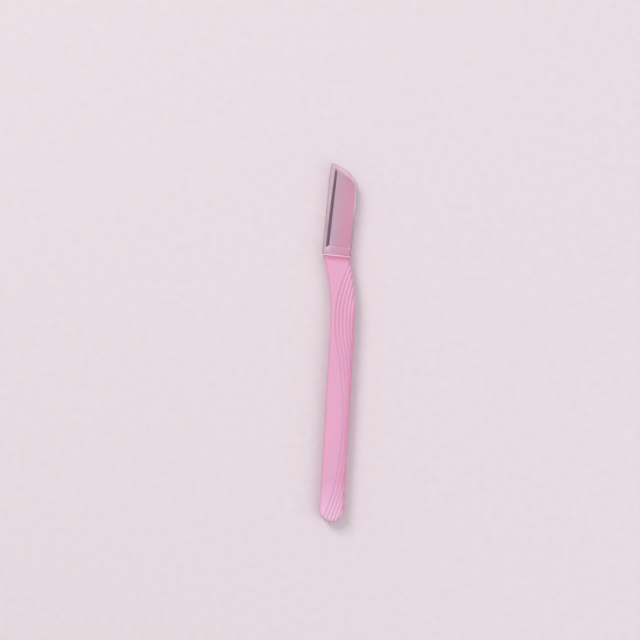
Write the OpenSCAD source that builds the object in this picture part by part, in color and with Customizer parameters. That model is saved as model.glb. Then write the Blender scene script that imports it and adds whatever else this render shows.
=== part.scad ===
/* [Grip] */
// Length of the handle from its butt to the shoulder where the cap stops
handle_length = 109.9; // [95:0.1:130]
// Width of the straight grip
grip_width = 10; // [8.5:0.1:13]
// Thickness of the straight grip
grip_thickness = 5.2; // [4.4:0.1:7]
// Radius that rounds the long edges of the grip
edge_radius = 1.7; // [0.8:0.1:2]

/* [Gate mark] */
// Distance from the butt to the gate mark on the handle's back edge
gate_place = 45; // [20:0.5:60]
// Diameter of the gate mark
gate_diameter = 0.9; // [0.5:0.1:1.5]
// How far the gate mark stands out
gate_height = 0.45; // [0.1:0.05:0.6]

/* [Neck] */
// Length of the neck, from the end of the straight grip to the shoulder
neck_length = 27; // [20:1:36]
// Radius of the neck's bend towards the blade side
neck_bend_radius = 91; // [70:1:300]
// Height of the step in each face of the handle that stops the cap's rim
shoulder_step = 0.4; // [0.2:0.05:0.6]
// Ledge beside the seat on each side of the shoulder
shoulder_ledge = 0.08; // [0.02:0.01:0.5]

/* [Grooves] */
// Number of wave grooves
groove_count = 6; // [1:1:7]
// Distance from one groove to the next, across the grip
groove_pitch = 1.54; // [1:0.02:2.4]
// Width of a groove
groove_width = 0.55; // [0.3:0.05:0.8]
// Depth of a groove
groove_depth = 0.3; // [0.1:0.05:0.6]

/* [Head] */
// Length of the head from the shoulder to its highest corner, on the blade side
head_length = 36.55; // [30:0.05:44]
// Lean of the head towards the back of the grip, in degrees
head_tilt = 3; // [0:0.5:10]
// Length of the thick seat that the cap grips
seat_length = 4; // [3:0.1:6]
// Radius of the seat's long corners
seat_corner_radius = 0.6; // [0.2:0.05:0.9]
// Thickness of the two cheeks together with the blade between them
plate_thickness = 2; // [1.4:0.1:2.6]
// Clearance between the cap's cavity and the back of the cheeks
plate_side_gap = 0.4; // [0.2:0.05:1.5]
// Clearance between the cap's cavity and the tip of the cheeks
plate_tip_gap = 0.9; // [0.4:0.05:2]
// Height of the slanted heel above the shoulder, where it meets the cheeks
heel_height = 4.45; // [4.1:0.05:6]
// Drop of the slanted heel from the cheeks to the side of the seat
heel_drop = 1.55; // [1:0.05:2.5]

/* [Blade] */
// Distance from the shoulder to the heel of the blade
blade_heel = 3.2; // [2.6:0.1:4]
// Distance from the tip of the cutting edge to the head's highest corner
blade_tip_gap = 0.4; // [0.3:0.05:3]
// Clearance between the cap's cavity and the cutting edge at its heel
edge_side_gap = 0.32; // [0.25:0.01:0.8]
// Width of the blade that shows beside the cheeks at its heel
blade_exposure = 1.55; // [1:0.05:2]
// Width of the blade strip
blade_width = 5.2; // [4.4:0.1:6]
// Thickness of the blade strip
blade_thickness = 0.25; // [0.15:0.01:0.4]
// Width of the ground bevel
bevel_width = 0.7; // [0.4:0.05:1.2]
// Thickness left at the cutting edge
cutting_edge_thickness = 0.03; // [0.02:0.01:0.08]
// Lean of the cutting edge towards the head's axis, in degrees
blade_lean = 1.1; // [0:0.1:2]
// Angle at which the blade's far end is cut to follow the head's tip, in degrees
blade_tip_cut = 31; // [20:1:36]

/* [Skin guard] */
// Thickness of the guard's folded sheet
guard_sheet = 0.1; // [0.06:0.01:0.15]
// Width of each side of the fold
guard_leg = 2.4; // [1.8:0.1:2.6]
// Distance from each end of the cutting edge to the guard
guard_margin = 1.3; // [1:0.1:3]
// Distance between two slots of the comb
guard_pitch = 1; // [0.6:0.1:2]
// Width of one slot of the comb
guard_slot = 0.55; // [0.3:0.05:1.2]
// Depth of a slot from the cutting edge
guard_slot_depth = 0.7; // [0.4:0.05:0.8]

/* [Studs] */
// Number of heat-staked studs
stud_count = 3; // [2:1:4]
// Diameter of a stud
stud_diameter = 1.4; // [1:0.1:1.8]
// Diameter of a staked stud head
stud_head_diameter = 2.2; // [1.9:0.1:2.6]
// Height of a staked stud head
stud_head_height = 0.4; // [0.2:0.05:0.5]
// Distance from each end of the cutting edge to the nearest stud
stud_margin = 4.6; // [4.2:0.1:7]

/* [Cap] */
// Width of the cap at its rim
cap_width = 12.15; // [11:0.05:14]
// How far each face of the cap lies below the face of the grip, at the rim
cap_inset = 0.15; // [0.05:0.05:0.4]
// How much thinner the cap is at its tip than at its rim
cap_taper = 0.6; // [0:0.05:1]
// Wall of the cap
cap_wall = 0.7; // [0.5:0.05:0.8]

/* [Fits] */
// Clearance between the cap and the seat on each side
cap_clearance = 0.06; // [0.02:0.01:0.1]
// Gap between the cap's rim and the shoulder
rim_gap = 0.05; // [0.02:0.01:0.2]
// Clearance around the blade, the guard and the studs
fit_clearance = 0.04; // [0.02:0.01:0.08]

/* [Hidden] */

// How far a cutting shape runs past the surface that it cuts
overrun = 1;
// Radius inside the long corners of the cap's cavity
cavity_radius = 0.1;
// How far the head's root is buried in the neck
root_depth = 1.5;
// Steps around a quarter of the butt, along the neck and around a long edge
butt_steps = 8;
neck_steps = 10;
edge_steps = 4;
// Steps of a groove between two of its knots
knot_steps = 4;
// Facets around a ball in the cap's corners, outside and in the cavity
ball_facets = 28;
cavity_facets = 16;
// Facets around a stud, the gate mark or a corner of the seat
round_facets = 32;

// Knots of the first groove: share of the handle's length from the butt,
// and share of the half width from the handle's centre line
groove_knot_shares = [
    [-0.03, -1.05], [0.017, -0.62], [0.092, -0.09], [0.153, 0.21], [0.243, 0.43],
    [0.333, 0.52], [0.424, 0.465], [0.529, 0.225], [0.62, -0.09], [0.695, -0.47],
    [0.763, -0.61], [0.83, -0.47], [0.891, -0.03], [0.951, 0.6], [0.985, 1.05]
];
// Corner balls of the cap, from the back of its rim round the tip to the blade side:
// share of the half width and share of the length at their centres
cap_corner_shares = [
    [1, 0], [1.01, 0.6], [0.965, 0.69], [0.866, 0.818], [0.726, 0.848], [0.466, 0.889],
    [0.237, 0.915], [-0.5, 0.973], [-1.08, 1], [-1.1, 0.857], [-1, 0]
];

handle_pink = [0.90, 0.65, 0.77];
clamp_pink = [0.86, 0.60, 0.73];
blade_steel = [0.45, 0.42, 0.45];
guard_steel = [0.62, 0.60, 0.63];
cap_clear = [0.92, 0.84, 0.89, 0.5];

neck_start = handle_length - neck_length;
butt_radius = grip_width / 2;
middle = grip_thickness / 2;
rest_place = handle_length / 2;
groove_ends = len(groove_knot_shares) - 1;

cap_radius = cap_wall + cavity_radius;
cap_half = cap_width / 2 - cap_radius;
cap_reach = head_length + plate_tip_gap - cavity_radius;
cap_length = cap_reach + cap_radius;
cap_thickness = grip_thickness - 2 * cap_inset;
cavity_half = cap_width / 2 - cap_wall;

seat_half = cavity_half - cap_clearance;
seat_thickness = cap_thickness - 2 * (cap_wall + cap_clearance);
seat_ramp = (seat_thickness - plate_thickness) / 2;
shoulder_width = 2 * (seat_half + shoulder_ledge);
shoulder_thickness = seat_thickness + 2 * shoulder_step;

blade_length = head_length - blade_heel - blade_tip_gap;
cutting_edge_reach = cavity_half - edge_side_gap;
cheek_reach = cutting_edge_reach - blade_exposure;
stud_line = (guard_leg + blade_width) / 2;

parting = blade_thickness / 2;
guard_fold = fit_clearance + guard_sheet;
guard_length = blade_length - 2 * guard_margin;
slot_count = floor((guard_length - guard_slot) / guard_pitch);
slot_start = (guard_length - (slot_count - 1) * guard_pitch - guard_slot) / 2;
stud_spacing = (blade_length - 2 * stud_margin) / (stud_count - 1);

// A smooth step from 0 to 1
function ease(share) = share * share * (3 - 2 * share);

// How far a place along the handle lies into the neck
function neck_run(y) = min(neck_length, max(0, y - neck_start));
function neck_share(y) = neck_run(y) / neck_length;

// Centre line, width and thickness of the handle at a distance from the butt
function centre_x(y) = sqrt(pow(neck_bend_radius, 2) - pow(neck_run(y), 2)) - neck_bend_radius;
function width_at(y) = grip_width + (shoulder_width - grip_width) * ease(neck_share(y));
function thickness_at(y) = grip_thickness
    + (shoulder_thickness - grip_thickness) * ease(neck_share(y));

// A point of the handle's outline on the right (side 1) or left (side -1), moved in by inset
function butt_point(side, angle, inset) = [
    side * (butt_radius - inset) * sin(angle),
    butt_radius - (butt_radius - inset) * cos(angle)
];
function neck_point(side, share, inset) =
    let (
        y = neck_start + share * neck_length,
        reach = side * (width_at(y) / 2 - inset),
        turn = head_tilt * share
    )
    [centre_x(y) + reach * cos(turn), y - reach * sin(turn)];
function side_points(side, inset) = concat(
    [for (step = [1:butt_steps]) butt_point(side, 90 * step / butt_steps, inset)],
    [for (step = [0:neck_steps]) neck_point(side, step / neck_steps, inset)]
);
function reversed(list) = [for (i = [len(list) - 1:-1:0]) list[i]];
function outline(inset) = concat(
    [butt_point(1, 0, inset)],
    side_points(1, inset),
    reversed(side_points(-1, inset))
);

// Levels of the rounded section: how far in, and how far from the face
function level(angle, skin) = [
    skin + (edge_radius - skin) * (1 - sin(angle)),
    skin + (edge_radius - skin) * (1 - cos(angle))
];

// A loop of points around the handle at one level, on its lower or upper (face 1) half
function level_loop(angle, face, skin) =
    let (inset_rise = level(angle, skin))
    [for (p = outline(inset_rise[0]))
        [p[0], p[1], middle + face * (thickness_at(p[1]) / 2 - inset_rise[1])]];

// Place of the first groove's centre at knot i
function knot_y(i) = groove_knot_shares[i][0] * handle_length;
function knot_x(i) = centre_x(knot_y(i)) + groove_knot_shares[i][1] * width_at(knot_y(i)) / 2;
function knot_slope(i) =
    let (low = max(0, i - 1), high = min(groove_ends, i + 1))
    (knot_x(high) - knot_x(low)) / (knot_y(high) - knot_y(low));

// A smooth curve through the knots: a cubic between knot i and the next, at a share of the way
function groove_point(i, share) =
    let (
        run = knot_y(i + 1) - knot_y(i),
        bend_low = knot_slope(i) * run - (knot_x(i + 1) - knot_x(i)),
        bend_high = knot_slope(i + 1) * run - (knot_x(i + 1) - knot_x(i)),
        rest = 1 - share
    )
    [
        knot_x(i) * rest + knot_x(i + 1) * share
            + share * rest * (bend_low * rest - bend_high * share),
        knot_y(i) + run * share
    ];
function groove_line(shift) = concat(
    [for (i = [0:groove_ends - 1], step = [0:knot_steps - 1])
        groove_point(i, step / knot_steps) + [shift, 0]],
    [groove_point(groove_ends - 1, 1) + [shift, 0]]
);

// Back edge of the handle's outline at a distance from the butt
function back_edge(y) = y < butt_radius
    ? sqrt(max(0, pow(butt_radius, 2) - pow(butt_radius - y, 2)))
    : centre_x(y) + width_at(y) / 2;

// A point on a groove's back wall, which opens out where no core lies between it and the back edge
function opened(p) =
    let (edge = back_edge(p[1]))
    p[0] > edge - groove_depth ? [max(p[0], edge + overrun), p[1]] : p;

// The handle without its head and grooves, or its core at a depth below that surface
module grip_solid(skin) {
    levels = concat(
        [for (step = [0:edge_steps]) level_loop(90 * step / edge_steps, -1, skin)],
        [for (step = [edge_steps:-1:0]) level_loop(90 * step / edge_steps, 1, skin)]
    );
    loop = len(levels[0]);
    top = (len(levels) - 1) * loop;
    pairs = (loop - 1) / 2;
    sides = [
        for (j = [0:len(levels) - 2], i = [0:loop - 1])
            let (
                here = j * loop + i,
                next = j * loop + (i + 1) % loop
            )
            each [[here, here + loop, next + loop], [here, next + loop, next]]
    ];
    under = [
        for (i = [1:pairs - 1])
            each [[i, i + 1, loop - i - 1], [i, loop - i - 1, loop - i]]
    ];
    faces_under = concat([[0, 1, loop - 1]], under);
    faces_top = [for (f = faces_under) [top + f[0], top + f[2], top + f[1]]];
    polyhedron(
        points = [for (ring = levels) each ring],
        faces = concat(sides, faces_under, faces_top)
    );
}

// One wave groove as an upright band through the whole grip
module groove_band(shift) {
    back_wall = [for (p = groove_line(shift + groove_width / 2)) opened(p)];
    band = concat(groove_line(shift - groove_width / 2), reversed(back_wall));
    translate([0, 0, -overrun])
        linear_extrude(height = grip_thickness + 2 * overrun)
            polygon(band);
}

module grooves() {
    difference() {
        for (k = [0:groove_count - 1]) groove_band(k * groove_pitch);
        grip_solid(groove_depth);
    }
}

// What is left of the gate that the handle was moulded through, a nib on its back edge
module gate_mark() {
    translate([centre_x(gate_place), gate_place, middle])
        rotate([0, 90, 0])
            cylinder(
                h = width_at(gate_place) / 2 + gate_height,
                d = gate_diameter,
                $fn = round_facets
            );
}

// Puts children from the head's frame, at the middle of the shoulder, into the handle's
module on_head() {
    translate([centre_x(handle_length), handle_length, middle])
        rotate([0, 0, -head_tilt])
            children();
}

// Puts children from the blade's frame, at the heel of its cutting edge, into the head's
module on_blade() {
    translate([-cutting_edge_reach, blade_heel, 0])
        rotate([0, 0, -blade_lean])
            children();
}

// Outline of the cheeks and seat, seen from the front
module head_plan() {
    plate = [
        for (s = cap_corner_shares)
            [s[0] * (cavity_half - plate_side_gap), s[1] * head_length]
    ];
    intersection() {
        union() {
            polygon(plate);
            translate([-seat_half, -fit_clearance])
                square([2 * seat_half, fit_clearance + seat_length]);
        }
        polygon([
            [-seat_half, -fit_clearance],
            [seat_half, -fit_clearance],
            [seat_half, cap_length],
            [-cheek_reach, cap_length],
            [-cheek_reach, heel_height],
            [-seat_half, heel_height - heel_drop]
        ]);
    }
}

// Side view of the head, from the shoulder past the tip
module head_profile() {
    seat = seat_thickness / 2;
    plate = plate_thickness / 2;
    polygon([
        [-overrun, -seat],
        [seat_length - seat_ramp, -seat],
        [seat_length, -plate],
        [cap_length, -plate],
        [cap_length, plate],
        [seat_length, plate],
        [seat_length - seat_ramp, seat],
        [-overrun, seat]
    ]);
}

// Section of the head across its axis, as large as the seat
module head_section() {
    across = seat_half - seat_corner_radius;
    up = seat_thickness / 2 - seat_corner_radius;
    square([2 * seat_half, 2 * up], center = true);
    square([2 * across, seat_thickness], center = true);
    for (side = [-1, 1], face = [-1, 1])
        translate([side * across, face * up])
            circle(r = seat_corner_radius, $fn = round_facets);
}

// Both halves of the head in one piece
module head_solid() {
    intersection() {
        translate([0, cap_length, 0])
            rotate([90, 0, 0])
                linear_extrude(height = cap_length + overrun)
                    head_section();
        translate([0, 0, -cap_thickness])
            linear_extrude(height = 2 * cap_thickness)
                head_plan();
        translate([-cap_width, 0, 0])
            rotate([90, 0, 90])
                linear_extrude(height = 2 * cap_width)
                    head_profile();
    }
}

// The part of the head that lies in a slab from one height to another
module head_slab(start, low, high) {
    intersection() {
        head_solid();
        translate([-cap_width, start, low])
            cube([2 * cap_width, cap_length, high - low]);
    }
}

// Outline of the blade, grown by a clearance where the pocket needs it
module blade_plan(clearance) {
    tip_drop = tan(blade_tip_cut) * (blade_width + clearance);
    open_side = clearance > 0 ? overrun : 0;
    polygon([
        [-open_side, -clearance],
        [blade_width + clearance, -clearance],
        [blade_width + clearance, blade_length + clearance - tip_drop],
        [0, blade_length + clearance],
        [-open_side, blade_length + clearance]
    ]);
}

// Where the studs stand along the blade
module at_studs() {
    for (k = [0:stud_count - 1])
        translate([stud_line, stud_margin + k * stud_spacing, 0])
            children();
}

// Room for one side of the guard in the face of a cheek
module guard_rebate(face) {
    depth = guard_fold + overrun;
    translate([
        -overrun,
        guard_margin - fit_clearance,
        face > 0 ? parting - overrun : -parting - guard_fold
    ])
        cube([overrun + guard_leg + fit_clearance, guard_length + 2 * fit_clearance, depth]);
}

// The rear cheek with the rear half of the seat, rooted in the neck
module rear_cheek() {
    root_half = seat_half - edge_radius;
    translate([-root_half, -root_depth, -plate_thickness / 2])
        cube([2 * root_half, root_depth + seat_ramp, plate_thickness / 2]);
    difference() {
        head_slab(-overrun, -cap_thickness, parting);
        on_blade() {
            translate([0, 0, -parting])
                linear_extrude(height = blade_thickness + overrun)
                    blade_plan(fit_clearance);
            guard_rebate(-1);
        }
    }
}

// A stud that stands on the rear cheek, with its head pressed flat over the clamp
module stud() {
    head_top = plate_thickness / 2;
    translate([0, 0, -head_top + parting])
        cylinder(h = 2 * head_top - parting, d = stud_diameter, $fn = round_facets);
    translate([0, 0, head_top - stud_head_height])
        cylinder(h = stud_head_height, d = stud_head_diameter, $fn = round_facets);
}

module handle() {
    color(handle_pink)
        union() {
            difference() {
                grip_solid(0);
                grooves();
            }
            gate_mark();
            on_head() {
                rear_cheek();
                on_blade() at_studs() stud();
            }
        }
}

module blade() {
    section = [
        [0, -cutting_edge_thickness / 2],
        [bevel_width, -blade_thickness / 2],
        [blade_width, -blade_thickness / 2],
        [blade_width, blade_thickness / 2],
        [bevel_width, blade_thickness / 2],
        [0, cutting_edge_thickness / 2]
    ];
    color(blade_steel)
        on_head()
            on_blade()
                difference() {
                    intersection() {
                        translate([0, blade_length + overrun, 0])
                            rotate([90, 0, 0])
                                linear_extrude(height = blade_length + 2 * overrun)
                                    polygon(section);
                        translate([0, 0, -blade_thickness])
                            linear_extrude(height = 2 * blade_thickness)
                                blade_plan(0);
                    }
                    at_studs()
                        translate([0, 0, -blade_thickness])
                            cylinder(
                                h = 2 * blade_thickness,
                                d = stud_diameter + 2 * fit_clearance,
                                $fn = round_facets
                            );
                }
}

// A folded sheet over the cutting edge, slotted into a comb
module skin_guard() {
    outer = parting + guard_fold;
    inner = parting + fit_clearance;
    fold = [
        [-guard_fold, -outer],
        [guard_leg, -outer],
        [guard_leg, -inner],
        [-fit_clearance, -inner],
        [-fit_clearance, inner],
        [guard_leg, inner],
        [guard_leg, outer],
        [-guard_fold, outer]
    ];
    color(guard_steel)
        on_head()
            on_blade()
                translate([0, guard_margin, 0])
                    difference() {
                        translate([0, guard_length, 0])
                            rotate([90, 0, 0])
                                linear_extrude(height = guard_length)
                                    polygon(fold);
                        for (k = [0:slot_count - 1])
                            translate([
                                -guard_fold - overrun,
                                slot_start + k * guard_pitch,
                                -outer - overrun
                            ])
                                cube([
                                    guard_fold + overrun + guard_slot_depth,
                                    guard_slot,
                                    2 * (outer + overrun)
                                ]);
                    }
}

// The front cheek with the front half of the seat
module blade_clamp() {
    head_top = plate_thickness / 2;
    color(clamp_pink)
        on_head()
            difference() {
                head_slab(fit_clearance, parting, cap_thickness);
                on_blade() {
                    guard_rebate(1);
                    at_studs() {
                        cylinder(
                            h = plate_thickness,
                            d = stud_diameter + 2 * fit_clearance,
                            $fn = round_facets
                        );
                        translate([0, 0, head_top - stud_head_height])
                            cylinder(
                                h = stud_head_height + overrun,
                                d = stud_head_diameter + 2 * fit_clearance,
                                $fn = round_facets
                            );
                    }
                }
            }
}

// The rounded slab of the cap, or its cavity when the balls are smaller
module cap_form(ball_radius, facets) {
    hull()
        for (s = cap_corner_shares, face = [-1, 1])
            translate([
                s[0] * cap_half,
                s[1] * cap_reach,
                face * (cap_thickness / 2 - cap_radius - cap_taper / 2 * s[1])
            ])
                sphere(r = ball_radius, $fn = facets);
}

module cap() {
    color(cap_clear)
        on_head()
            translate([0, rim_gap, 0])
                difference() {
                    cap_form(cap_radius, ball_facets);
                    cap_form(cavity_radius, cavity_facets);
                    translate([-cap_width, -2 * cap_radius, -cap_thickness])
                        cube([2 * cap_width, 2 * cap_radius, 2 * cap_thickness]);
                }
}

// Moves the whole razor so that the origin lies under the middle of the handle
module placed() {
    translate([0, -rest_place, 0])
        children();
}

placed() handle();
placed() blade();
placed() skin_guard();
placed() blade_clamp();
placed() cap();
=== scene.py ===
# An eyebrow razor with its cap on, lying on a pale floor and seen from straight above
import math

import bmesh
import bpy
import numpy as np
from mathutils import Matrix, Vector


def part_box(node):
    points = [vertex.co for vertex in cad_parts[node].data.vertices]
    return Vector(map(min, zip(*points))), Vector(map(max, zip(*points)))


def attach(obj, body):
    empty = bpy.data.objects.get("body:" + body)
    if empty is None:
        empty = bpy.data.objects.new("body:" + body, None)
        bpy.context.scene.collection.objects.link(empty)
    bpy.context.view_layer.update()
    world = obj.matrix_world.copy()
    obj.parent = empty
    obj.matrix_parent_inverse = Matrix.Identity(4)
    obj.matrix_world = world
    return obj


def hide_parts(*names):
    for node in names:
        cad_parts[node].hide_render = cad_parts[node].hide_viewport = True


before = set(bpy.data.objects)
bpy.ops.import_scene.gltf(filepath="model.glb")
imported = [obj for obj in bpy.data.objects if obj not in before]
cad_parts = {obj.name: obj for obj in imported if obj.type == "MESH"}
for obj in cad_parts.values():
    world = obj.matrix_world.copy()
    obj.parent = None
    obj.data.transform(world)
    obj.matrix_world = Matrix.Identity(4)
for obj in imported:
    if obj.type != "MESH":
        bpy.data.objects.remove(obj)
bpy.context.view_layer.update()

# Lengths are in millimetres until a mesh is made
MM = 0.001

# The gate mark, a nib on the handle's back edge, with its distance from the butt
GATE_PLACE = 45.0
GATE_DIAMETER = 0.9
GATE_HEIGHT = 0.45
GATE_ROUND = 0.15
GATE_ROUND_STEPS = 5
GATE_STEPS = 24

# The handle's size, from the frame, whose origin lies under the middle of the handle
HANDLE_LOW, HANDLE_HIGH = (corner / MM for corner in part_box("handle"))
HALF_GRIP = HANDLE_HIGH.x - GATE_HEIGHT
FACE = HANDLE_HIGH.z
MIDDLE = FACE / 2
REST_PLACE = -HANDLE_LOW.y
HANDLE_LENGTH = 2 * REST_PLACE
GATE_Y = GATE_PLACE - REST_PLACE

# The handle's neck and long edges
EDGE_RADIUS = 1.7
NECK_LENGTH = 27.0
NECK_START = HANDLE_LENGTH - NECK_LENGTH
NECK_BEND_RADIUS = 91.0
HEAD_TILT = 3.0
SHOULDER_WIDTH = 10.79
SHOULDER_THICKNESS = 4.18
SHOULDER_EDGE = 0.07
PARTING_LINE_DEPTH = 0.03

# The wave grooves, where along the handle they are shallowest, as a share of its length, and the
# share of their depth that is left there
GROOVE_COUNT = 6
GROOVE_PITCH = 1.54
GROOVE_HALF_WIDTH = 0.5
GROOVE_DEPTH = 0.3
SHALLOW_PLACE_SHARE = 0.42
SHALLOW_DEPTH_SHARE = 0.6

# The knots of the first groove: shares of the handle's length and of its half width
GROOVE_KNOT_SHARES = np.array([
    (-0.03, -1.05), (0.017, -0.62), (0.092, -0.09), (0.153, 0.21), (0.243, 0.43),
    (0.333, 0.52), (0.424, 0.465), (0.529, 0.225), (0.62, -0.09), (0.695, -0.47),
    (0.763, -0.61), (0.83, -0.47), (0.891, -0.03), (0.951, 0.6), (0.985, 1.05),
])

# Rows and steps of the handle's mesh, and how near two of its points are made one
BUTT_ROWS = 30
ROW_STEP = 0.4
FACE_STEPS = 84
EDGE_STEPS = 14
WALL_STEPS = 3
HANDLE_MERGE = 1e-3

# The head's moulded plates: how near two points of the frame's mesh are made one, how far past
# the shoulder the head is cut off and how deep it then reaches into the neck, and its bevels,
# with angles in degrees
FRAME_MERGE = 1e-4
HEAD_CUT = 0.02
HEAD_SINK = 1.0
PLATE_BEVEL = 0.1
BEVEL_STEPS = 2
FLAT_ANGLE = 1.0
SHARP_ANGLE = 30.0

# The cap, and the corners round it: shares of its half width and of its reach, from the back of
# the rim over the tip to the front of the rim
CAP_WIDTH = 12.15
CAP_THICKNESS = 4.9
CAP_TAPER = 0.6
CAP_WALL = 0.7
CAP_CORNER_RADIUS = 0.8
CAP_REACH = 37.35
CAP_CORNER_SHARES = [
    (1, 0), (1.01, 0.6), (0.965, 0.69), (0.866, 0.818), (0.726, 0.848), (0.466, 0.889),
    (0.237, 0.915), (-0.5, 0.973), (-1.08, 1), (-1.1, 0.857), (-1, 0),
]
TIP_CORNER = 8
TIP_CORNER_STEPS = 10
CAP_CURVE_STEPS = 8
CAP_EDGE_STEPS = 8

# An angle too small to see, which tells a level line below the cap's middle from one above
HAIR_ANGLE = 1e-9

# The cap's rim: its gap to the shoulder, its rounding, and for each line across it the share of
# the wall and of the rounding
RIM_GAP = 0.05
RIM_ROUND = 0.07
RIM_LINES = [(0.05, 0.6), (0.17, 1.0), (0.83, 1.0), (0.95, 0.6)]

# Where the photograph's middle lies on the part, how wide a field it shows and how the part
# leans in it, with the angle in degrees
VIEW_CENTRE = (-9.35, 28.36)
VIEW_WIDTH = 264.4
VIEW_LEAN = 3.35
CAMERA_HEIGHT = 1200.0
SENSOR_WIDTH = 36.0

# How near and how far the camera sees, and half the floor's width, in metres
CLIP_NEAR = 0.05
CLIP_FAR = 20
FLOOR_REACH = 3.0

# How far the floor lies under the razor
FLOOR_DROP = 0.02

# The lights: place and size in metres, power in watts, and tint
LIGHTS = {
    "key": ((-0.9, 1.0, 1.0), 0.7, 15.4, (1.0, 0.98, 0.97)),
    "fill": ((0.7, -0.3, 0.7), 0.8, 3.4, (0.97, 0.98, 1.0)),
}
LIGHT_TARGET = (0, 0.02, 0)
SKY_TINT = (1.0, 0.97, 0.98, 1.0)
SKY_STRENGTH = 0.6

# Painted highlights and how far they reach: the streak over the gate mark, and in the head's own
# frame the one on the corner of the heel and the one beside the lower end of the blade's strip
GATE_HIGHLIGHT = (HALF_GRIP + 0.3, GATE_Y, 3.0)
GATE_HIGHLIGHT_RADIUS = 0.9
HEEL_HIGHLIGHT = (-4.4, 2.9, 1.2)
HEEL_HIGHLIGHT_RADIUS = 2.0
STRIP_END_HIGHLIGHT = (-3.7, 5.8, 1.8)
STRIP_END_HIGHLIGHT_RADIUS = 2.0
SPOT_SHARE = 0.9

# How much light passes straight through the cap where it is clear, where it is cloudy and at
# its rim, how cloudy its side walls are beside its rounded edges, and how its tip slants
CAP_CLEAR = 0.975
CAP_CLOUDY = 0.5
CAP_RIM_CLEAR = 0.25
CAP_SIDE_CLOUD = 0.4
TIP_SLANT = 0.35

# Parts of a noise's range that are spread out to the whole range
WIDE_NOISE = (0.3, 0.7)
NARROW_NOISE = (0.35, 0.65)


def colour(red, green, blue):
    """A colour given as 0 to 255 in sRGB, as the shader's linear values"""
    channels = [c / 255 for c in (red, green, blue)]
    linear = [c / 12.92 if c <= 0.04045 else ((c + 0.055) / 1.055) ** 2.4 for c in channels]
    return (*linear, 1.0)


# The handle's colours, with painted shade for its sides, towards its back edge, in its grooves and
# in the band under the cap's rim, painted pink light on its back edge, and painted highlights on
# the neck's ridges and over the gate mark
GRIP_PINK = colour(225, 165, 195)
GRIP_CLOUD = colour(220, 163, 196)
SHADE_PINK = colour(206, 126, 160)
BUTT_PINK = colour(229, 192, 218)
BACK_EDGE_LIGHT = colour(234, 142, 177)
NECK_BACK_EDGE_LIGHT = colour(240, 166, 199)
NECK_RIDGE_HIGHLIGHT = colour(242, 172, 204)
GROOVE_SHADE_MAUVE = colour(180, 140, 174)
GATE_HIGHLIGHT_PINK = colour(255, 202, 226)

# The colours of the head's plates, and of the painted highlights at the heel's corner and beside
# the lower end of the blade's strip
PLATE_MAUVE = colour(188, 166, 184)
PLATE_PINK = colour(200, 145, 168)
PLATE_CLOUD = colour(194, 154, 176)
STRIP_END_HIGHLIGHT_PINK = colour(214, 184, 200)
HEEL_HIGHLIGHT_PINK = colour(238, 212, 227)

# The steel's colours: two tones of grinding lines each, spots, the pale heel end, and two tones of
# painted shade beside the plate, at its heel and at its tip
BLADE_TONES = (colour(118, 98, 112), colour(160, 140, 154))
GUARD_TONES = (colour(106, 80, 98), colour(142, 116, 133))
STEEL_SPOT = colour(120, 104, 108)
STEEL_HEEL = colour(192, 168, 188)
STEEL_SHADE_TONES = (colour(76, 55, 68), colour(100, 80, 92))

# The cap's colours: level faces; the cloudy tip, paler towards the back as a painted highlight;
# the rim from blade side to back, painted pink as light piped through it from the handle; the
# walls, tinted with painted pink light, and the wall facing the tip paler as a painted highlight;
# and the tint of light that passes beside and over the plates
CAP_FACE = colour(252, 245, 249)
TIP_CLOUD_AND_HIGHLIGHT_TONES = (colour(220, 187, 205), colour(244, 218, 231))
RIM_GLOW_TONES = (colour(254, 203, 226), colour(253, 184, 214))
BLADE_SIDE_WALL = colour(242, 193, 218)
BACK_WALL_TONES = (colour(250, 190, 215), colour(238, 212, 224))
TIP_WALL_HIGHLIGHT = colour(254, 234, 245)
LAMP_TINTS = (colour(250, 243, 247), colour(228, 221, 225))

FLOOR_TONES = (colour(220, 211, 216), colour(223, 215, 219))


def ease(share):
    """A smooth step from 0 to 1"""
    return share * share * (3 - 2 * share)


def neck_run(y):
    return np.clip(y - NECK_START, 0, NECK_LENGTH)


def centre_x(y):
    """Centre line of the handle at a distance from the butt"""
    return np.sqrt(NECK_BEND_RADIUS**2 - neck_run(y) ** 2) - NECK_BEND_RADIUS


def half_width(y):
    share = ease(neck_run(y) / NECK_LENGTH)
    return HALF_GRIP + (SHOULDER_WIDTH / 2 - HALF_GRIP) * share


def half_thickness(y):
    share = ease(neck_run(y) / NECK_LENGTH)
    return (FACE + (SHOULDER_THICKNESS - FACE) * share) / 2


def head_frame():
    """The head's own frame, in metres, at the middle of the shoulder"""
    place = Vector((float(centre_x(HANDLE_LENGTH)), HANDLE_LENGTH - REST_PLACE, MIDDLE)) * MM
    return Matrix.Translation(place) @ Matrix.Rotation(math.radians(-HEAD_TILT), 4, "Z")


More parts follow.
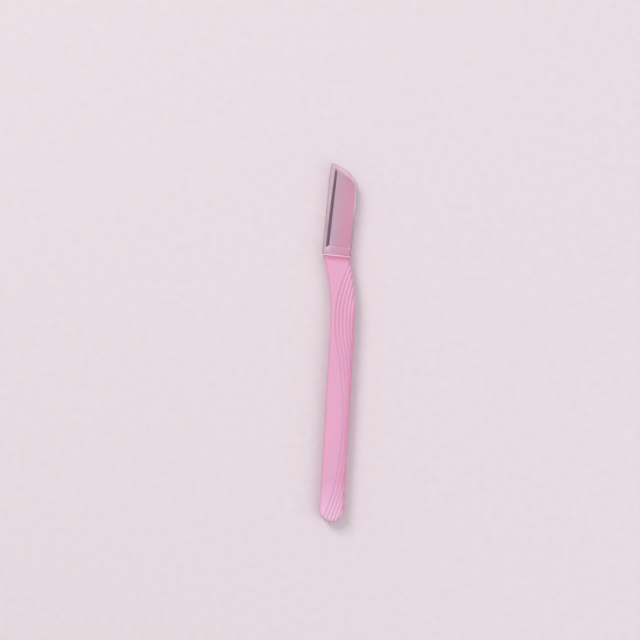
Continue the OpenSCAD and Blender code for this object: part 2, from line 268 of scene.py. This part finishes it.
def first_groove(y):
    """The first groove's place across the handle, and its slope, at a distance from the butt"""
    knot_y = GROOVE_KNOT_SHARES[:, 0] * HANDLE_LENGTH
    knot_x = centre_x(knot_y) + GROOVE_KNOT_SHARES[:, 1] * half_width(knot_y)
    last = len(knot_y) - 1
    low = np.maximum(np.arange(last + 1) - 1, 0)
    high = np.minimum(np.arange(last + 1) + 1, last)
    slope = (knot_x[high] - knot_x[low]) / (knot_y[high] - knot_y[low])
    i = np.clip(np.searchsorted(knot_y, y) - 1, 0, last - 1)
    run = knot_y[i + 1] - knot_y[i]
    share = np.clip((y - knot_y[i]) / run, 0, 1)
    rest = 1 - share
    rise = knot_x[i + 1] - knot_x[i]
    bend_low = slope[i] * run - rise
    bend_high = slope[i + 1] * run - rise
    bend = share * rest * (bend_low * rest - bend_high * share)
    x = knot_x[i] * rest + knot_x[i + 1] * share + bend
    return x, slope[i] * rest + slope[i + 1] * share


def groove_share(x, y):
    """How deep a place lies in the nearest groove, from 0 on the surface to 1 at the bottom"""
    first, slope = first_groove(y)
    deepest = np.zeros_like(x)
    for k in range(GROOVE_COUNT):
        off = np.abs(x - first - k * GROOVE_PITCH) * np.cos(np.arctan(slope))
        valley = (1 + np.cos(np.pi * np.minimum(off / GROOVE_HALF_WIDTH, 1))) / 2
        deepest = np.maximum(deepest, valley)
    return deepest


def groove_depth(y):
    """Depth of the grooves, shallower in the middle of the grip than at its ends"""
    shallow_y = SHALLOW_PLACE_SHARE * HANDLE_LENGTH
    away = np.clip(np.abs(y - shallow_y) / shallow_y, 0, 1)
    return GROOVE_DEPTH * (SHALLOW_DEPTH_SHARE + (1 - SHALLOW_DEPTH_SHARE) * ease(away))


def handle_rows():
    """For each row of the handle: its two outline points and their outward directions"""
    angle = np.radians(np.linspace(0, 90, BUTT_ROWS + 1))
    butt_right = np.stack([HALF_GRIP * np.sin(angle), HALF_GRIP * (1 - np.cos(angle))], 1)
    butt_out = np.stack([np.sin(angle), -np.cos(angle)], 1)
    mirror = np.array([-1, 1])
    steps = int((HANDLE_LENGTH - HALF_GRIP) / ROW_STEP)
    y = np.linspace(HALF_GRIP, HANDLE_LENGTH, steps + 1)[1:]
    turn = np.radians(HEAD_TILT) * neck_run(y) / NECK_LENGTH
    across = np.stack([np.cos(turn), -np.sin(turn)], 1)
    centre = np.stack([centre_x(y), y], 1)
    reach = half_width(y)[:, None] * across
    right = np.concatenate([butt_right, centre + reach])
    left = np.concatenate([butt_right * mirror, centre - reach])
    right_out = np.concatenate([butt_out, across])
    left_out = np.concatenate([butt_out * mirror, -across])
    row_y = np.concatenate([butt_right[:, 1], y])
    return left, right, left_out, right_out, row_y


def handle_ring():
    """Once round the handle's section: for each point its share from left to right, its angle
    on the rounded edge, its share of the flat side's height, and 1 above or -1 below"""
    wall = [(0.0, step / WALL_STEPS) for step in range(WALL_STEPS)]
    edge = [(math.pi / 2 * step / EDGE_STEPS, 1.0) for step in range(EDGE_STEPS + 1)]
    climb = wall + edge
    face = [step / FACE_STEPS for step in range(1, FACE_STEPS)]
    ring = [(0.0, angle, share, 1) for angle, share in climb]
    ring += [(across, math.pi / 2, 1.0, 1) for across in face]
    ring += [(1.0, angle, share, 1) for angle, share in reversed(climb)]
    ring += [(1.0, angle, share, -1) for angle, share in climb[1:]]
    ring += [(across, math.pi / 2, 1.0, -1) for across in reversed(face)]
    ring += [(0.0, angle, share, -1) for angle, share in reversed(climb[1:])]
    return [np.array(column) for column in zip(*ring)]


def handle_points():
    """Points of the grip and neck as rows of rings, with their share of groove"""
    left, right, left_out, right_out, row_y = handle_rows()
    across, angle, wall_share, face = handle_ring()
    inset = EDGE_RADIUS * (1 - np.cos(angle))
    left_in = left[:, None] - left_out[:, None] * inset[None, :, None]
    right_in = right[:, None] - right_out[:, None] * inset[None, :, None]
    share = across[None, :, None]
    plan = left_in * (1 - share) + right_in * share
    level_out = left_out[:, None] * (1 - share) + right_out[:, None] * share
    out = level_out * np.cos(angle)[None, :, None]
    high = half_thickness(row_y)[:, None] - EDGE_RADIUS
    rise = high * wall_share[None] + EDGE_RADIUS * np.sin(angle)[None]
    z = MIDDLE + face[None] * rise
    up = np.broadcast_to(face * np.sin(angle), z.shape)
    groove = groove_share(plan[..., 0], plan[..., 1])
    sunk = groove * groove_depth(plan[..., 1])
    sunk = sunk + np.where(wall_share == 0, PARTING_LINE_DEPTH, 0)[None]
    points = np.concatenate([plan - out * sunk[..., None], (z - up * sunk)[..., None]], 2)
    points[..., 1] -= REST_PLACE
    return points, groove


def end_rows(points):
    """Draws the last row back a little, and gives two more rows from it to the flat of the
    shoulder, with a fine crease between them"""
    last = points[-1]
    towards = last.mean(0) - last
    towards /= np.linalg.norm(towards, axis=1, keepdims=True)
    tilt = math.radians(HEAD_TILT)
    along = np.array([math.sin(tilt), math.cos(tilt), 0])
    last -= along * SHOULDER_EDGE
    soft = SHOULDER_EDGE * (1 - math.sqrt(0.5))
    return np.stack([last - along * soft + towards * soft, last + towards * SHOULDER_EDGE])


def add_loft(bm, rows, layer=None, values=None):
    """Adds rows of rings to a mesh, with a face over the last ring"""
    grid = []
    for r, ring in enumerate(rows):
        line = [bm.verts.new(Vector(point) * MM) for point in ring]
        if layer is not None:
            for vert, value in zip(line, values[r]):
                vert[layer] = value
        grid.append(line)
    for low, high in zip(grid, grid[1:]):
        close_band(bm, low, high)
    bm.faces.new(grid[-1])


def close_band(bm, low, high):
    """Adds the faces between two closed lines of as many points"""
    for i in range(len(low)):
        j = (i + 1) % len(low)
        bm.faces.new((low[i], low[j], high[j], high[i]))


def add_gate_mark(bm):
    """Adds the nib that the gate left on the handle's back edge, with its end rounded over"""
    start, end = HALF_GRIP - EDGE_RADIUS, HALF_GRIP + GATE_HEIGHT - GATE_ROUND
    flat = GATE_DIAMETER / 2 - GATE_ROUND
    profile = [(start, 0), (start, GATE_DIAMETER / 2)]
    for tip in np.linspace(0, math.pi / 2, GATE_ROUND_STEPS):
        profile.append((end + GATE_ROUND * math.sin(tip), flat + GATE_ROUND * math.cos(tip)))
    turns = [2 * math.pi * step / GATE_STEPS for step in range(GATE_STEPS)]
    add_loft(bm, [
        [(x, GATE_Y + reach * math.cos(turn), MIDDLE + reach * math.sin(turn)) for turn in turns]
        for x, reach in profile
    ])


def add_frame_head(bm):
    """Adds the rear cheek and studs, cut from the frame's handle just past its shoulder"""
    part = frame_mesh("handle")
    to_row = head_frame()
    along = to_row.to_3x3() @ Vector((0, 1, 0))
    cut = bmesh.ops.bisect_plane(
        part,
        geom=part.verts[:] + part.edges[:] + part.faces[:],
        plane_co=to_row @ Vector((0, HEAD_CUT * MM, 0)),
        plane_no=along,
        clear_inner=True,
    )
    rim = [e for e in cut["geom_cut"] if isinstance(e, bmesh.types.BMEdge)]
    grown = bmesh.ops.extrude_edge_only(part, edges=rim)["geom"]
    sunk = [v for v in grown if isinstance(v, bmesh.types.BMVert)]
    bmesh.ops.translate(part, verts=sunk, vec=-along * HEAD_SINK * MM)
    bmesh.ops.holes_fill(part, edges=[e for e in grown if isinstance(e, bmesh.types.BMEdge)])
    soften_plates(part)
    made = bpy.data.meshes.new("head")
    part.to_mesh(made)
    part.free()
    bm.from_mesh(made)
    bpy.data.meshes.remove(made)


def frame_mesh(node_name):
    """A copy of a CAD node's mesh to work on, with the points that coincide made one"""
    bm = bmesh.new()
    bm.from_mesh(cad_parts[node_name].data)
    bmesh.ops.remove_doubles(bm, verts=bm.verts, dist=MM * FRAME_MERGE)
    return bm


def soften_plates(bm):
    """Joins a plate's flat faces and gives its sharp edges a small bevel"""
    bmesh.ops.dissolve_limit(
        bm, angle_limit=math.radians(FLAT_ANGLE), verts=bm.verts[:], edges=bm.edges[:],
        delimit=set(),
    )
    sharp = [
        e for e in bm.edges
        if len(e.link_faces) == 2 and e.calc_face_angle(0) > math.radians(SHARP_ANGLE)
    ]
    bmesh.ops.bevel(
        bm, geom=sharp, offset=PLATE_BEVEL * MM, segments=BEVEL_STEPS, profile=0.5,
        affect="EDGES", clamp_overlap=True,
    )


def piece_from(bm, name, material, slot, body, *nodes):
    """Makes a piece of a finished mesh, puts it on its body and in place of its CAD nodes"""
    bmesh.ops.recalc_face_normals(bm, faces=bm.faces[:])
    mesh = bpy.data.meshes.new(name)
    bm.to_mesh(mesh)
    bm.free()
    mesh.shade_smooth()
    mesh.set_sharp_from_angle(angle=math.radians(SHARP_ANGLE))
    piece = bpy.data.objects.new(name, mesh)
    bpy.context.scene.collection.objects.link(piece)
    mesh.materials.append(material)
    even = piece.modifiers.new("even_shading", "WEIGHTED_NORMAL")
    even.keep_sharp = True
    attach(piece, body)
    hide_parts(*nodes)


def make_handle(material):
    bm = bmesh.new()
    layer = bm.verts.layers.float.new("groove")
    points, groove = handle_points()
    extra = end_rows(points)
    rows = np.concatenate([points, extra])
    values = np.concatenate([groove, np.zeros_like(groove[:len(extra)])])
    add_loft(bm, rows, layer, values)
    add_gate_mark(bm)
    bmesh.ops.remove_doubles(bm, verts=bm.verts, dist=MM * HANDLE_MERGE)
    add_frame_head(bm)
    piece_from(bm, "handle_moulding", material, "handle_plastic", "razor", "handle")


def make_clamp(material):
    bm = frame_mesh("blade_clamp")
    soften_plates(bm)
    piece_from(bm, "clamp_moulding", material, "clamp_plastic", "razor", "blade_clamp")


def curve_through(points, steps):
    """A smooth curve through points, as a list of points and directions"""
    before = [2 * points[0] - points[1]] + points + [2 * points[-1] - points[-2]]
    line = []
    for i in range(len(points) - 1):
        p0, p1, p2, p3 = (before[i + j] for j in range(4))
        m1 = (p2 - p0) * (p2 - p1).length / ((p2 - p1).length + (p1 - p0).length)
        m2 = (p3 - p1) * (p2 - p1).length / ((p2 - p1).length + (p3 - p2).length)
        for step in range(steps if i < len(points) - 2 else steps + 1):
            t = step / steps
            place = (
                (2 * t**3 - 3 * t**2 + 1) * p1 + (t**3 - 2 * t**2 + t) * m1
                + (3 * t**2 - 2 * t**3) * p2 + (t**3 - t**2) * m2
            )
            way = (
                (6 * t**2 - 6 * t) * p1 + (3 * t**2 - 4 * t + 1) * m1
                + (6 * t - 6 * t**2) * p2 + (3 * t**2 - 2 * t) * m2
            )
            line.append((place, way.normalized()))
    return line


def with_outward(curve):
    """A curve's points with the directions to its right in place of its own"""
    return [(place, Vector((way.y, -way.x))) for place, way in curve]


def cap_outline():
    """Round the cap from the back of its rim over the tip: corner centres and outward directions"""
    half = CAP_WIDTH / 2 - CAP_CORNER_RADIUS
    corners = [Vector((x * half, y * CAP_REACH)) for x, y in CAP_CORNER_SHARES]
    line = with_outward(curve_through(corners[: TIP_CORNER + 1], CAP_CURVE_STEPS))
    front = with_outward(curve_through(corners[TIP_CORNER:], CAP_CURVE_STEPS))
    start = line[-1][1]
    swing = start.angle_signed(front[0][1])
    for step in range(1, TIP_CORNER_STEPS):
        turned = Matrix.Rotation(-swing * step / TIP_CORNER_STEPS, 2) @ start
        line.append((corners[TIP_CORNER], turned))
    return line + front


def cap_level(outline, radius, angle):
    """One line round the cap's wall at an angle on its rounded edge, from rim to rim"""
    line = []
    for place, out in outline:
        spot = place + out * radius * math.cos(angle)
        share = place.y / CAP_REACH
        high = CAP_THICKNESS / 2 - CAP_CORNER_RADIUS - CAP_TAPER / 2 * share
        z = math.copysign(high, angle) + radius * math.sin(angle)
        line.append(Vector((spot.x, max(spot.y, RIM_ROUND), z)))
    return line


def cap_shell(outline, radius):
    """All lines of the cap's outer or inner wall, from below to above"""
    steps = CAP_EDGE_STEPS
    below = [-math.pi / 2 * (1 - step / steps) for step in range(steps + 1)]
    above = [math.pi / 2 * step / steps for step in range(steps + 1)]
    lower = [cap_level(outline, radius, angle - HAIR_ANGLE) for angle in below]
    upper = [cap_level(outline, radius, angle + HAIR_ANGLE) for angle in above]
    return lower + upper


def make_cap(material):
    outline = cap_outline()
    to_row = head_frame() @ Matrix.Translation(Vector((0, RIM_GAP, 0)) * MM)
    bm = bmesh.new()
    rings = []
    for radius in (CAP_CORNER_RADIUS, CAP_CORNER_RADIUS - CAP_WALL):
        levels = cap_shell(outline, radius)
        grid = [[bm.verts.new(to_row @ (point * MM)) for point in level] for level in levels]
        for low, high in zip(grid, grid[1:]):
            for i in range(len(low) - 1):
                bm.faces.new((low[i], low[i + 1], high[i + 1], high[i]))
        bm.faces.new(grid[0])
        bm.faces.new(grid[-1])
        rings.append([level[0] for level in grid] + [level[-1] for level in reversed(grid)])
    add_rim(bm, *rings, to_row.to_3x3() @ Vector((0, -RIM_ROUND * MM, 0)))
    piece_from(bm, "cap_moulding", material, "cap_plastic", "cap", "cap")


def add_rim(bm, outer, inner, drop):
    """Closes the cap's wall at its open end with a rim whose edges are rounded"""
    last = outer
    for across, share in RIM_LINES:
        line = [
            bm.verts.new(a.co.lerp(b.co, across) + drop * share) for a, b in zip(outer, inner)
        ]
        close_band(bm, last, line)
        last = line
    close_band(bm, last, inner)


def node(tree, kind, inputs=None, **settings):
    """Adds a shader node, with its settings and with values or links for its inputs"""
    made = tree.nodes.new(kind)
    for key, value in settings.items():
        setattr(made, key, value)
    for key, value in (inputs or {}).items():
        if isinstance(value, bpy.types.NodeSocket):
            tree.links.new(value, made.inputs[key])
        else:
            made.inputs[key].default_value = value
    return made


def new_material(name, **values):
    """A material with one Principled shader, its plain values set, and its object coordinates"""
    material = bpy.data.materials.new(name)
    material.use_nodes = True
    tree = material.node_tree
    tree.nodes.clear()
    shader = node(tree, "ShaderNodeBsdfPrincipled", values)
    node(tree, "ShaderNodeOutputMaterial", {"Surface": shader.outputs[0]})
    place = node(tree, "ShaderNodeTexCoord").outputs["Object"]
    return material, tree, shader, place


def noise(tree, place, scale, detail, roughness=0.5, stretch=None):
    """A noise value from 0 to 1, with scale in cycles per metre"""
    if stretch is not None:
        place = node(tree, "ShaderNodeMapping", {"Vector": place, "Scale": stretch}).outputs[0]
    made = node(
        tree, "ShaderNodeTexNoise",
        {"Vector": place, "Scale": scale, "Detail": detail, "Roughness": roughness},
    )
    return made.outputs["Fac"]


def spread(tree, value, low, high, new_low=0.0, new_high=1.0):
    """Maps a value from one range to another, held at the ends"""
    made = node(
        tree, "ShaderNodeMapRange",
        {"Value": value, "From Min": low, "From Max": high, "To Min": new_low, "To Max": new_high},
        clamp=True,
    )
    return made.outputs[0]


def ramp(tree, value, start, end, new_low=0.0, new_high=1.0):
    """Maps a place from one range, in millimetres, to another, held at the ends"""
    return spread(tree, value, start * MM, end * MM, new_low, new_high)


def mix(tree, share, first, second):
    """Mixes two colours, by the node's inputs for a share and for colours"""
    inputs = {0: share, 6: first, 7: second}
    return node(tree, "ShaderNodeMix", inputs, data_type="RGBA").outputs[2]


def bump(tree, height, distance, strength, under=None):
    """A bump whose distance is in millimetres"""
    inputs = {"Height": height, "Distance": distance * MM, "Strength": strength}
    if under is not None:
        inputs["Normal"] = under
    return node(tree, "ShaderNodeBump", inputs).outputs[0]


def axis_value(tree, place, axis):
    """One coordinate of a place or direction"""
    return node(tree, "ShaderNodeSeparateXYZ", {"Vector": place}).outputs[axis]


def in_head_frame(tree, place):
    """Object coordinates turned into the head's own frame"""
    back = head_frame().inverted()
    inputs = {
        "Vector": place,
        "Location": back.to_translation(),
        "Rotation": (0, 0, math.radians(HEAD_TILT)),
    }
    return node(tree, "ShaderNodeMapping", inputs, vector_type="POINT").outputs[0]


def near(tree, place, spot, radius):
    """A share that is greatest at a spot, in millimetres, and 0 from a distance away"""
    away = node(
        tree, "ShaderNodeVectorMath", {0: place, 1: Vector(spot) * MM}, operation="DISTANCE"
    ).outputs["Value"]
    return ramp(tree, away, 0, radius, SPOT_SHARE, 0)


def facing(tree, axis):
    """How far the surface faces along an axis, from -1 to 1"""
    return axis_value(tree, node(tree, "ShaderNodeNewGeometry").outputs["Normal"], axis)


def math_node(tree, operation, *values):
    inputs = dict(enumerate(values))
    return node(tree, "ShaderNodeMath", inputs, operation=operation).outputs[0]


def levelness(tree):
    """1 on level faces and 0 on side walls"""
    return math_node(tree, "ABSOLUTE", facing(tree, "Z"))


def both(tree, first, second):
    """The product of two shares"""
    return math_node(tree, "MULTIPLY", first, second)


def larger(tree, first, second):
    """The larger of two shares"""
    return math_node(tree, "MAXIMUM", first, second)


def new_moulding(name, glow, depth):
    """A satin plastic that light enters: a share of it, and to a depth in millimetres"""
    return new_material(name, **{
        "IOR": 1.47, "Specular IOR Level": 0.45,
        "Subsurface Weight": glow, "Subsurface Scale": depth * MM,
        "Subsurface Radius": (1.0, 0.45, 0.6),
    })


def moulded_grain(tree, shader, place, roughness):
    """Fine moulded grain: a dull bloom in the roughness and a faint bump"""
    bloom = noise(tree, place, 180, 3)
    dull = spread(tree, bloom, *WIDE_NOISE, roughness - 0.05, roughness + 0.06)
    tree.links.new(dull, shader.inputs["Roughness"])
    grain = noise(tree, place, 5200, 3, 0.6)
    fine = bump(tree, grain, 0.006, 0.6)
    waves = bump(tree, noise(tree, place, 110, 1), 0.05, 0.5, fine)
    tree.links.new(waves, shader.inputs["Normal"])


def handle_plastic():
    """Pink plastic: cloudy and paler at the butt, with painted shade on its sides, towards the back
    edge, in the grooves and in a band under the cap's rim before the shoulder, painted pink light
    on the back edge, painted highlights on the neck's ridges and over the gate mark, and past the
    shoulder the head's tint"""
    material, tree, shader, place = new_moulding("handle_plastic", 0.12, 0.6)
    across, along = axis_value(tree, place, "X"), axis_value(tree, place, "Y")
    past_butt = ramp(tree, along, -54, -38)
    clouds = spread(tree, noise(tree, place, 90, 2), *NARROW_NOISE)
    clouded = mix(tree, clouds, GRIP_PINK, GRIP_CLOUD)
    body = mix(tree, past_butt, BUTT_PINK, clouded)
    # Painted shade: the side walls are deeper pink
    side = spread(tree, levelness(tree), 0.9, 0.3, 0, 0.45)
    side_shaded = mix(tree, side, body, SHADE_PINK)
    neck = ramp(tree, along, 26, 36)
    before_neck = spread(tree, neck, 0, 1, 1, 0)
    # Painted shade on the grip, growing towards its back edge
    back_shade_share = both(tree, past_butt, ramp(tree, across, 1.2, 4, 0, 0.27))
    back_shaded = mix(tree, both(tree, before_neck, back_shade_share), side_shaded, SHADE_PINK)
    # Painted pink bounce light on the side facing the back, lighter in the neck to offset its shade
    back_edge_light = mix(tree, neck, BACK_EDGE_LIGHT, NECK_BACK_EDGE_LIGHT)
    back = spread(tree, facing(tree, "X"), 0.3, 0.85, 0, 0.75)
    edge_lit = mix(tree, back, back_shaded, back_edge_light)
    # Painted highlight on the ridges of the neck's back half
    ridge_highlight = both(tree, neck, ramp(tree, across, -1.5, 1.5, 0, 0.45))
    ridge_lit = mix(tree, ridge_highlight, edge_lit, NECK_RIDGE_HIGHLIGHT)
    groove = node(tree, "ShaderNodeAttribute", attribute_name="groove").outputs["Fac"]
    # Painted shade in the grooves, stronger in the neck
    groove_shade_share = spread(tree, neck, 0, 1, 0.3, 0.62)
    groove_shade = both(tree, spread(tree, groove, 0.15, 1.0), groove_shade_share)
    lined = mix(tree, groove_shade, ridge_lit, GROOVE_SHADE_MAUVE)
    # Painted highlight over the gate mark
    gate_lit = mix(tree, near(tree, place, GATE_HIGHLIGHT, GATE_HIGHLIGHT_RADIUS), lined, GATE_HIGHLIGHT_PINK)
    turned = in_head_frame(tree, place)
    past_shoulder = axis_value(tree, turned, "Y")
    # Painted shadow of the cap's rim: a darker band just before the shoulder, fainter towards the
    # left edge
    rim_shadow_start = ramp(tree, past_shoulder, -2.2, -0.7)
    rim_shadow_end = ramp(tree, past_shoulder, -0.35, 0, 1, 0)
    band = both(tree, rim_shadow_start, rim_shadow_end)
    rim_shadow_share = ramp(tree, axis_value(tree, turned, "X"), -5.0, -3.0, 0.35, 0.85)
    shaded = mix(tree, both(tree, band, rim_shadow_share), gate_lit, SHADE_PINK)
    head = ramp(tree, past_shoulder, 0, 0.1)
    tree.links.new(mix(tree, head, shaded, head_tint(tree, place)), shader.inputs["Base Color"])
    moulded_grain(tree, shader, place, 0.42)
    return material


def clamp_plastic():
    material, tree, shader, place = new_moulding("clamp_plastic", 0.1, 0.5)
    tree.links.new(head_tint(tree, place), shader.inputs["Base Color"])
    moulded_grain(tree, shader, place, 0.4)
    return material


def head_tint(tree, place):
    """Pink of the head's plates, greyer over the blade, which shows faintly through them, with
    painted highlights on the thick corner of the heel and beside the lower end of the blade's strip"""
    turned = in_head_frame(tree, place)
    across = axis_value(tree, turned, "X")
    plain = ramp(tree, across, -2.4, 2.2)
    tinted = mix(tree, plain, PLATE_MAUVE, PLATE_PINK)
    clouds = spread(tree, noise(tree, place, 220, 2), *NARROW_NOISE, 0, 0.35)
    clouded = mix(tree, clouds, tinted, PLATE_CLOUD)
    # Painted highlight beside the lower end of the blade's strip
    strip_highlight = near(tree, turned, STRIP_END_HIGHLIGHT, STRIP_END_HIGHLIGHT_RADIUS)
    lit = mix(tree, strip_highlight, clouded, STRIP_END_HIGHLIGHT_PINK)
    # Painted highlight on the thick corner of the heel
    corner = near(tree, turned, HEEL_HIGHLIGHT, HEEL_HIGHLIGHT_RADIUS)
    return mix(tree, corner, lit, HEEL_HIGHLIGHT_PINK)


def ground_steel(name, tones, roughness, line_stretch):
    """Steel with fine grinding lines between two tones, paler towards its heel, and with painted
    shade beside the clamp's plate"""
    material, tree, shader, place = new_material(name, Metallic=1.0)
    lines = noise(tree, place, 900, 4, 0.65, line_stretch)
    spots = noise(tree, place, 420, 3)
    lined = mix(tree, spread(tree, lines, *WIDE_NOISE), *tones)
    spotted = mix(tree, spread(tree, spots, 0.5, 0.8, 0, 0.3), lined, STEEL_SPOT)
    turned = in_head_frame(tree, place)
    along = axis_value(tree, turned, "Y")
    near_heel = ramp(tree, along, 8, 20, 0.9, 0)
    paler = mix(tree, near_heel, spotted, STEEL_HEEL)
    # Painted shade along the steel beside the clamp's plate
    plate_shade = ramp(tree, axis_value(tree, turned, "X"), -5.0, -4.3, 0, 0.9)
    towards_tip = ramp(tree, along, 5, 33)
    dark = mix(tree, towards_tip, *STEEL_SHADE_TONES)
    tree.links.new(mix(tree, plate_shade, paler, dark), shader.inputs["Base Color"])
    worn = spread(tree, lines, *WIDE_NOISE, roughness - 0.06, roughness + 0.1)
    tree.links.new(worn, shader.inputs["Roughness"])
    tree.links.new(bump(tree, lines, 0.003, 0.5), shader.inputs["Normal"])
    return material


def cap_plastic():
    """Clear plastic, cloudier at its rim, along its edges, at its high back and towards its tip,
    with painted pink light in its rim and walls and painted highlights on the tip's back half and
    the walls facing the tip
    """
    material, tree, shader, place = new_material("cap_plastic", IOR=1.5)
    turned = in_head_frame(tree, place)
    across, along = axis_value(tree, turned, "X"), axis_value(tree, turned, "Y")
    slant = math_node(tree, "MULTIPLY_ADD", across, TIP_SLANT, along)
    tip = ramp(tree, slant, 33, 36.5, 0, 0.6)
    rim = ramp(tree, along, 0.35, 0.6, 1, 0)
    level = levelness(tree)
    rounding = spread(tree, level, 0.95, 0.45)
    side = spread(tree, level, 0.45, 0.05, 1, CAP_SIDE_CLOUD)
    edge = both(tree, rounding, side)
    high = ramp(tree, along, 14, 24)
    high_back = both(tree, high, ramp(tree, across, 4.4, 5.4, 0, 0.5))
    # Walls tinted with painted pink light, milkier high on the back
    back_wall = mix(tree, high, *BACK_WALL_TONES)
    to_back = ramp(tree, across, -4, 5)
    wall = mix(tree, to_back, BLADE_SIDE_WALL, back_wall)
    # Painted highlight on the walls that face the tip
    lit_wall = mix(tree, spread(tree, facing(tree, "Y"), 0.15, 0.5), wall, TIP_WALL_HIGHLIGHT)
    # The tip's cloud, darker on the blade side and paler towards the back as a painted highlight
    # along the slanted edge
    milky_and_highlight = mix(tree, ramp(tree, across, -4.2, -2.4), *TIP_CLOUD_AND_HIGHLIGHT_TONES)
    face = mix(tree, tip, CAP_FACE, milky_and_highlight)
    edged = mix(tree, edge, face, lit_wall)
    # Painted pink light piped through the rim from the handle
    rim_glow = mix(tree, to_back, *RIM_GLOW_TONES)
    tree.links.new(mix(tree, rim, edged, rim_glow), shader.inputs["Base Color"])
    cloud = larger(tree, larger(tree, tip, rim), larger(tree, edge, high_back))
    haze = noise(tree, place, 260, 3)
    clear = spread(tree, cloud, 0, 1, CAP_CLEAR, CAP_CLOUDY)
    passing = spread(tree, rim, 0, 1, clear, CAP_RIM_CLEAR)
    tree.links.new(passing, shader.inputs["Transmission Weight"])
    tree.links.new(spread(tree, haze, *WIDE_NOISE, 0.04, 0.08), shader.inputs["Roughness"])
    scuffs = noise(tree, place, 700, 4, 0.7, (1.0, 0.12, 1.0))
    flow = bump(tree, noise(tree, place, 140, 1), 0.01, 0.5)
    tree.links.new(bump(tree, scuffs, 0.003, 0.4, flow), shader.inputs["Normal"])
    above = ramp(tree, axis_value(tree, place, "Z"), MIDDLE, MIDDLE + 1)
    over_plates = both(tree, above, level)
    let_lamps_through(tree, shader, mix(tree, over_plates, *LAMP_TINTS))
    return material


def let_lamps_through(tree, shader, tint):
    """Lamps shine through the glass in a straight line, so that what it covers is lit"""
    lamps = node(tree, "ShaderNodeLightPath").outputs["Is Shadow Ray"]
    passing = node(tree, "ShaderNodeBsdfTransparent", {"Color": tint}).outputs[0]
    surface = node(tree, "ShaderNodeMixShader", {0: lamps, 1: shader.outputs[0], 2: passing})
    output = next(n for n in tree.nodes if n.type == "OUTPUT_MATERIAL")
    tree.links.new(surface.outputs[0], output.inputs["Surface"])


def dress_frame_steel():
    """The blade and its guard keep their CAD shape and get their steel"""
    steels = {
        "blade": ground_steel("blade_steel", BLADE_TONES, 0.3, (0.06, 1.0, 1.0)),
        "skin_guard": ground_steel("guard_steel", GUARD_TONES, 0.34, (1.0, 0.08, 1.0)),
    }
    for name, material in steels.items():
        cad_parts[name].material_slots[0].material = material


def make_floor():
    material, tree, shader, place = new_material(
        "floor_paper", **{"Roughness": 0.85, "Specular IOR Level": 0.2}
    )
    fibres = spread(tree, noise(tree, place, 300, 4), *WIDE_NOISE)
    tree.links.new(mix(tree, fibres, *FLOOR_TONES), shader.inputs["Base Color"])
    mesh = bpy.data.meshes.new("floor")
    corners = [
        (x * FLOOR_REACH, y * FLOOR_REACH, -FLOOR_DROP * MM)
        for x, y in ((-1, -1), (1, -1), (1, 1), (-1, 1))
    ]
    mesh.from_pydata(corners, [], [(0, 1, 2, 3)])
    mesh.materials.append(material)
    floor = bpy.data.objects.new("floor", mesh)
    bpy.context.scene.collection.objects.link(floor)


def make_light(name, place, size, power, tint):
    """A square soft light aimed at the razor"""
    light = bpy.data.lights.new(name, "AREA")
    light.shape = "SQUARE"
    light.size = size
    light.energy = power
    light.color = tint
    lamp = bpy.data.objects.new(name, light)
    lamp.location = place
    aim = Vector(LIGHT_TARGET) - lamp.location
    lamp.rotation_euler = aim.to_track_quat("-Z", "Y").to_euler()
    bpy.context.scene.collection.objects.link(lamp)


def make_lights():
    """The lights and an even sky"""
    for name, values in LIGHTS.items():
        make_light(name, *values)
    world = bpy.data.worlds.new("studio")
    bpy.context.scene.world = world
    world.use_nodes = True
    sky = world.node_tree.nodes["Background"]
    sky.inputs["Color"].default_value = SKY_TINT
    sky.inputs["Strength"].default_value = SKY_STRENGTH


def make_camera():
    """Straight above, with the photograph's framing and lean"""
    camera = bpy.data.cameras.new("camera")
    camera.sensor_fit = "HORIZONTAL"
    camera.sensor_width = SENSOR_WIDTH
    camera.lens = SENSOR_WIDTH * CAMERA_HEIGHT / VIEW_WIDTH
    camera.clip_start = CLIP_NEAR
    camera.clip_end = CLIP_FAR
    eye = bpy.data.objects.new("camera", camera)
    eye.location = Vector((*VIEW_CENTRE, FACE + CAMERA_HEIGHT)) * MM
    eye.rotation_euler = (0, 0, math.radians(VIEW_LEAN))
    bpy.context.scene.collection.objects.link(eye)
    bpy.context.scene.camera = eye


make_camera()
make_lights()
make_floor()
make_handle(handle_plastic())
make_clamp(clamp_plastic())
make_cap(cap_plastic())
dress_frame_steel()
bpy.context.scene.view_settings.view_transform = "Standard"
